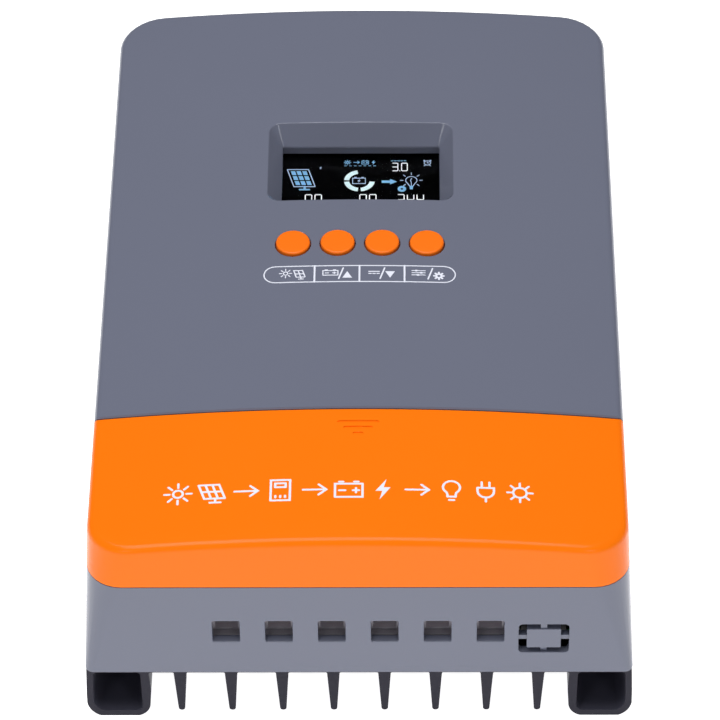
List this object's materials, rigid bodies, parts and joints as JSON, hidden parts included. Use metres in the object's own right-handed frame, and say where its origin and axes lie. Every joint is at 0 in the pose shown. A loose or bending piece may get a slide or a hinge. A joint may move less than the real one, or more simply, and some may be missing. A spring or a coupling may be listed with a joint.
{
  "type": "solar charge controller",
  "caption": "Wall-mounted solar charge controller with a display, push buttons, cable terminals under a sliding cover, and a finned heatsink back.",
  "frame": {"origin": "middle of the part, on the plane of the heatsink's feet", "axes": "+Z out of the front face that carries the display, +Y from the cable end towards the top end, +X to the right as the display is read"},
  "size_m": [0.1914, 0.2824, 0.0911],
  "materials": {
    "black_anodised": "black anodised, fine extrusion lines",
    "grey_housing": "fine moulded texture",
    "orange_cover": "fine moulded texture",
    "orange_button": "smooth satin",
    "clear_window": "clear, polished",
    "display_glass": "black display glass",
    "white_plastic": "plain",
    "circuit_board": "green solder mask",
    "grey_cable": "grey flat cable",
    "thermal_pad": "soft grey pad",
    "black_plastic": "moulded",
    "steel": "zinc plated",
    "brass": "dull nickel plated",
    "copper": "tinned copper edge",
    "ferrite": "powder core",
    "capacitor_sleeve": "shrink sleeve"
  },
  "bodies": {
    "housing": {"heatsink": "black_anodised", "housing_shell": "grey_housing", "display_window": "clear_window", "lcd_panel": "display_glass", "lcd_backlight": "white_plastic", "front_board": "circuit_board", "ribbon_cable": "grey_cable", "main_board": "circuit_board", "terminal_block": "black_plastic", "contact_bar_1": "copper", "contact_bar_2": "copper", "contact_bar_3": "copper", "contact_bar_4": "copper", "contact_bar_5": "copper", "contact_bar_6": "copper", "data_port": "black_plastic", "inductor_1": "ferrite", "inductor_2": "ferrite", "capacitor_1": "capacitor_sleeve", "capacitor_2": "capacitor_sleeve", "capacitor_3": "capacitor_sleeve", "mosfet_1": "black_plastic", "mosfet_2": "black_plastic", "mosfet_3": "black_plastic", "mosfet_4": "black_plastic", "mosfet_clamp_bar": "steel", "insulator_pad": "thermal_pad", "board_standoff_1": "brass", "board_standoff_2": "brass", "board_standoff_3": "brass", "board_standoff_4": "brass", "housing_screw_1": "steel", "housing_screw_2": "steel", "housing_screw_3": "steel", "housing_screw_4": "steel", "tact_switch_1": "black_plastic", "tact_switch_2": "black_plastic", "tact_switch_3": "black_plastic", "tact_switch_4": "black_plastic"},
    "cover": {"terminal_cover": "orange_cover"},
    "button_panel": {"button_panel": "orange_button", "tact_plunger_1": "white_plastic"},
    "button_up": {"button_up": "orange_button", "tact_plunger_2": "white_plastic"},
    "button_down": {"button_down": "orange_button", "tact_plunger_3": "white_plastic"},
    "button_set": {"button_set": "orange_button", "tact_plunger_4": "white_plastic"},
    "screw_1": {"terminal_screw_1": "steel"},
    "cage_1": {"clamp_cage_1": "brass"},
    "screw_2": {"terminal_screw_2": "steel"},
    "cage_2": {"clamp_cage_2": "brass"},
    "screw_3": {"terminal_screw_3": "steel"},
    "cage_3": {"clamp_cage_3": "brass"},
    "screw_4": {"terminal_screw_4": "steel"},
    "cage_4": {"clamp_cage_4": "brass"},
    "screw_5": {"terminal_screw_5": "steel"},
    "cage_5": {"clamp_cage_5": "brass"},
    "screw_6": {"terminal_screw_6": "steel"},
    "cage_6": {"clamp_cage_6": "brass"}
  },
  "joints": [
    {"name": "cover_slide", "type": "slide", "parent": "housing", "child": "cover", "axis": [0, -1, 0], "range_m": [0, 0.08]},
    {"name": "button_panel_press", "type": "slide", "parent": "housing", "child": "button_panel", "axis": [0, 0, -1], "range_m": [0, 0.0008], "stiffness_N_per_m": 300, "springref_m": -0.001},
    {"name": "button_up_press", "type": "slide", "parent": "housing", "child": "button_up", "axis": [0, 0, -1], "range_m": [0, 0.0008], "stiffness_N_per_m": 300, "springref_m": -0.001},
    {"name": "button_down_press", "type": "slide", "parent": "housing", "child": "button_down", "axis": [0, 0, -1], "range_m": [0, 0.0008], "stiffness_N_per_m": 300, "springref_m": -0.001},
    {"name": "button_set_press", "type": "slide", "parent": "housing", "child": "button_set", "axis": [0, 0, -1], "range_m": [0, 0.0008], "stiffness_N_per_m": 300, "springref_m": -0.001},
    {"name": "screw_1_turn", "type": "hinge", "parent": "housing", "child": "screw_1", "pos_m": [-0.04562, -0.1281, 0.066], "axis": [0, 0, 1], "range_deg": [-1440, 0]},
    {"name": "cage_1_rise", "type": "slide", "parent": "housing", "child": "cage_1", "axis": [0, 0, 1], "range_m": [0, 0.004]},
    {"name": "screw_2_turn", "type": "hinge", "parent": "housing", "child": "screw_2", "pos_m": [-0.02738, -0.1281, 0.066], "axis": [0, 0, 1], "range_deg": [-1440, 0]},
    {"name": "cage_2_rise", "type": "slide", "parent": "housing", "child": "cage_2", "axis": [0, 0, 1], "range_m": [0, 0.004]},
    {"name": "screw_3_turn", "type": "hinge", "parent": "housing", "child": "screw_3", "pos_m": [-0.00912, -0.1281, 0.066], "axis": [0, 0, 1], "range_deg": [-1440, 0]},
    {"name": "cage_3_rise", "type": "slide", "parent": "housing", "child": "cage_3", "axis": [0, 0, 1], "range_m": [0, 0.004]},
    {"name": "screw_4_turn", "type": "hinge", "parent": "housing", "child": "screw_4", "pos_m": [0.00912, -0.1281, 0.066], "axis": [0, 0, 1], "range_deg": [-1440, 0]},
    {"name": "cage_4_rise", "type": "slide", "parent": "housing", "child": "cage_4", "axis": [0, 0, 1], "range_m": [0, 0.004]},
    {"name": "screw_5_turn", "type": "hinge", "parent": "housing", "child": "screw_5", "pos_m": [0.02738, -0.1281, 0.066], "axis": [0, 0, 1], "range_deg": [-1440, 0]},
    {"name": "cage_5_rise", "type": "slide", "parent": "housing", "child": "cage_5", "axis": [0, 0, 1], "range_m": [0, 0.004]},
    {"name": "screw_6_turn", "type": "hinge", "parent": "housing", "child": "screw_6", "pos_m": [0.04562, -0.1281, 0.066], "axis": [0, 0, 1], "range_deg": [-1440, 0]},
    {"name": "cage_6_rise", "type": "slide", "parent": "housing", "child": "cage_6", "axis": [0, 0, 1], "range_m": [0, 0.004]}
  ],
  "couplings": [
    {"joint": "screw_1_turn", "follows": "cage_1_rise", "rad_per_m": -6283.2},
    {"joint": "screw_2_turn", "follows": "cage_2_rise", "rad_per_m": -6283.2},
    {"joint": "screw_3_turn", "follows": "cage_3_rise", "rad_per_m": -6283.2},
    {"joint": "screw_4_turn", "follows": "cage_4_rise", "rad_per_m": -6283.2},
    {"joint": "screw_5_turn", "follows": "cage_5_rise", "rad_per_m": -6283.2},
    {"joint": "screw_6_turn", "follows": "cage_6_rise", "rad_per_m": -6283.2}
  ]
}
